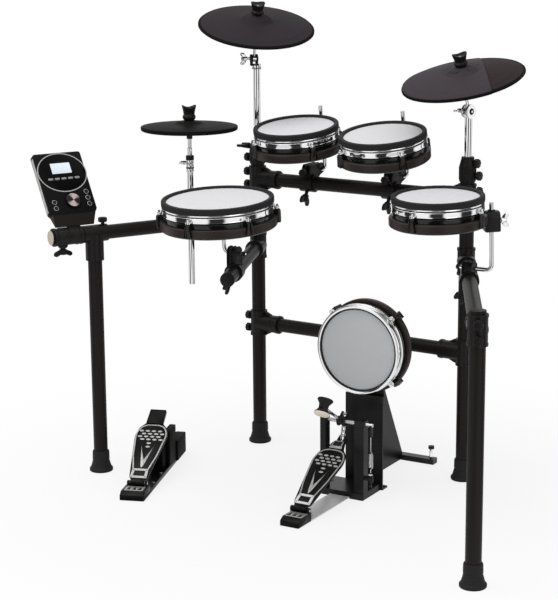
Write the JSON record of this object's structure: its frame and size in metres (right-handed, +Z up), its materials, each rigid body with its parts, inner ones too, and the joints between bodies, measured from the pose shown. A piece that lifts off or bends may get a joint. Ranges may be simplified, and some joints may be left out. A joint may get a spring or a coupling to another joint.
{
  "type": "electronic drum kit",
  "caption": "Electronic drum kit: tube rack with hanging mesh pads, rubber cymbals, kick tower with pedal, hi-hat foot controller and a tilting sound module.",
  "frame": {"origin": "on the floor under the middle of the kit's bounding box", "axes": "+Z up, +X to the drummer's right along the rear cross bars, +Y away from the drummer"},
  "size_m": [1.4338, 0.8406, 1.2555],
  "materials": {
    "rack_black": "satin",
    "clamp_black": "matte",
    "rubber_black": "matte",
    "shell_black": "gloss",
    "chrome": "polished",
    "head_white": "matte",
    "cymbal_grey": "matte",
    "steel_black": "satin",
    "steel_bare": "satin",
    "board_black": "satin",
    "felt": "matte",
    "case_black": "satin",
    "screen": "gloss",
    "dial_metal": "satin"
  },
  "bodies": {
    "rack": {"rear_posts": "rack_black", "front_legs": "rack_black", "cross_bars": "rack_black", "side_bars": "rack_black", "snare_arm": "rack_black", "end_caps": "clamp_black", "rubber_feet": "rubber_black", "rack_clamps": "clamp_black", "clamp_knobs": "clamp_black", "rod_clamps": "clamp_black", "wing_bolts": "chrome", "kick_tower": "steel_black", "kick_shell": "shell_black", "kick_hoop": "chrome", "kick_head": "head_white", "pedal_base": "steel_bare", "pedal_frame": "steel_black", "pedal_spring": "steel_bare", "controller_base": "clamp_black"},
    "snare": {"snare_shell": "shell_black", "snare_hoop": "chrome", "snare_head": "head_white", "snare_rod": "chrome"},
    "left_tom": {"left_tom_shell": "shell_black", "left_tom_hoop": "chrome", "left_tom_head": "head_white", "left_tom_rod": "chrome"},
    "right_tom": {"right_tom_shell": "shell_black", "right_tom_hoop": "chrome", "right_tom_head": "head_white", "right_tom_rod": "chrome"},
    "floor_tom": {"floor_tom_shell": "shell_black", "floor_tom_hoop": "chrome", "floor_tom_head": "head_white", "floor_tom_rod": "chrome"},
    "crash_stand": {"crash_tube": "chrome"},
    "crash_arm": {"crash_tilter": "chrome", "crash_nut": "clamp_black"},
    "crash_cymbal": {"crash_pad": "cymbal_grey"},
    "ride_stand": {"ride_tube": "chrome"},
    "ride_arm": {"ride_tilter": "chrome", "ride_nut": "clamp_black"},
    "ride_cymbal": {"ride_pad": "cymbal_grey"},
    "hihat_rod": {"hihat_stand": "chrome", "hihat_nut": "clamp_black"},
    "hihat_cymbal": {"hihat_pad": "cymbal_grey"},
    "pedal_board": {"footboard": "board_black"},
    "beater": {"cam_shaft": "chrome", "beater_head": "felt"},
    "chain": {"pedal_chain": "steel_bare"},
    "controller_board": {"controller_footboard": "board_black"},
    "module": {"module_case": "case_black", "module_screen": "screen", "module_mount": "clamp_black"},
    "dial": {"module_dial": "dial_metal"},
    "right_button_1": {"right_button_1": "case_black"},
    "right_button_2": {"right_button_2": "case_black"},
    "right_button_3": {"right_button_3": "case_black"},
    "left_button_1": {"left_button_1": "case_black"},
    "left_button_2": {"left_button_2": "case_black"}
  },
  "joints": [
    {"name": "snare_tilt", "type": "hinge", "parent": "rack", "child": "snare", "pos_m": [-0.21714, -0.05445, 0.627], "axis": [1, 0, 0], "range_deg": [-6, 10]},
    {"name": "left_tom_tilt", "type": "hinge", "parent": "rack", "child": "left_tom", "pos_m": [-0.14347, 0.32997, 0.801], "axis": [1, 0, 0], "range_deg": [-6, 12]},
    {"name": "right_tom_tilt", "type": "hinge", "parent": "rack", "child": "right_tom", "pos_m": [0.11453, 0.32997, 0.801], "axis": [1, 0, 0], "range_deg": [-6, 12]},
    {"name": "floor_tom_tilt", "type": "hinge", "parent": "rack", "child": "floor_tom", "pos_m": [0.48995, 0.08156, 0.628], "axis": [1, 0, 0], "range_deg": [-6, 10]},
    {"name": "crash_height", "type": "slide", "parent": "rack", "child": "crash_stand", "axis": [0, 0, 1], "range_m": [-0.05, 0.045]},
    {"name": "crash_tilt", "type": "hinge", "parent": "crash_stand", "child": "crash_arm", "pos_m": [-0.34047, 0.28797, 1.1], "axis": [0.66, 0.7513, 0], "range_deg": [-15, 12]},
    {"name": "crash_swing", "type": "hinge", "parent": "crash_arm", "child": "crash_cymbal", "pos_m": [-0.31951, 0.26024, 1.2067], "axis": [0.66, 0.7513, 0], "range_deg": [-8, 8], "stiffness_Nm_per_rad": 6, "springref_deg": 0.25},
    {"name": "ride_height", "type": "slide", "parent": "rack", "child": "ride_stand", "axis": [0, 0, 1], "range_m": [-0.03, 0.045]},
    {"name": "ride_tilt", "type": "hinge", "parent": "ride_stand", "child": "ride_arm", "pos_m": [0.31453, 0.28797, 0.99], "axis": [0.9789, -0.2045, 0], "range_deg": [-15, 10]},
    {"name": "ride_swing", "type": "hinge", "parent": "ride_arm", "child": "ride_cymbal", "pos_m": [0.3087, 0.26007, 1.0921], "axis": [0.9789, -0.2045, 0], "range_deg": [-8, 8], "stiffness_Nm_per_rad": 6, "springref_deg": 0.22},
    {"name": "hihat_height", "type": "slide", "parent": "rack", "child": "hihat_rod", "axis": [0, 0, 1], "range_m": [-0.06, 0.06]},
    {"name": "hihat_swing", "type": "hinge", "parent": "hihat_rod", "child": "hihat_cymbal", "pos_m": [-0.40993, 0.06386, 0.927], "axis": [0.4352, 0.9003, 0], "range_deg": [-6, 6], "stiffness_Nm_per_rad": 6},
    {"name": "footboard_press", "type": "hinge", "parent": "rack", "child": "pedal_board", "pos_m": [0.12084, -0.21968, 0.03], "axis": [-0.9986, -0.0523, 0], "range_deg": [0, 6.5], "stiffness_Nm_per_rad": 8, "springref_deg": -5.73},
    {"name": "beater_swing", "type": "hinge", "parent": "rack", "child": "beater", "pos_m": [0.10933, 0.00002, 0.203], "axis": [-0.9986, -0.0523, 0], "range_deg": [0, 61.86], "deforming": ["pedal_spring"]},
    {"name": "chain_turn", "type": "hinge", "parent": "beater", "child": "chain", "pos_m": [0.10834, 0.01891, 0.21778], "axis": [-0.9986, -0.0523, 0], "range_deg": [-69.7, 0]},
    {"name": "controller_press", "type": "hinge", "parent": "rack", "child": "controller_board", "pos_m": [-0.35219, -0.27525, 0.03], "axis": [-0.9272, -0.3746, 0], "range_deg": [0, 8], "stiffness_Nm_per_rad": 12, "springref_deg": -3.09},
    {"name": "module_tilt", "type": "hinge", "parent": "rack", "child": "module", "pos_m": [-0.58681, -0.22161, 0.661], "axis": [-0.4352, -0.9003, 0], "range_deg": [-12, 12]},
    {"name": "dial_turn", "type": "hinge", "parent": "module", "child": "dial", "pos_m": [-0.59433, -0.2102, 0.75217], "axis": [0.733, -0.3543, 0.5807], "continuous": true},
    {"name": "right_button_1_press", "type": "slide", "parent": "module", "child": "right_button_1", "axis": [-0.733, 0.3543, -0.5807], "range_m": [0, 0.001], "stiffness_N_per_m": 400},
    {"name": "right_button_2_press", "type": "slide", "parent": "module", "child": "right_button_2", "axis": [-0.733, 0.3543, -0.5807], "range_m": [0, 0.001], "stiffness_N_per_m": 400},
    {"name": "right_button_3_press", "type": "slide", "parent": "module", "child": "right_button_3", "axis": [-0.733, 0.3543, -0.5807], "range_m": [0, 0.001], "stiffness_N_per_m": 400},
    {"name": "left_button_1_press", "type": "slide", "parent": "module", "child": "left_button_1", "axis": [-0.733, 0.3543, -0.5807], "range_m": [0, 0.001], "stiffness_N_per_m": 400},
    {"name": "left_button_2_press", "type": "slide", "parent": "module", "child": "left_button_2", "axis": [-0.733, 0.3543, -0.5807], "range_m": [0, 0.001], "stiffness_N_per_m": 400}
  ],
  "couplings": [
    {"joint": "beater_swing", "follows": "footboard_press", "ratio": 9.5157},
    {"joint": "chain_turn", "follows": "footboard_press", "ratio": -10.721}
  ]
}
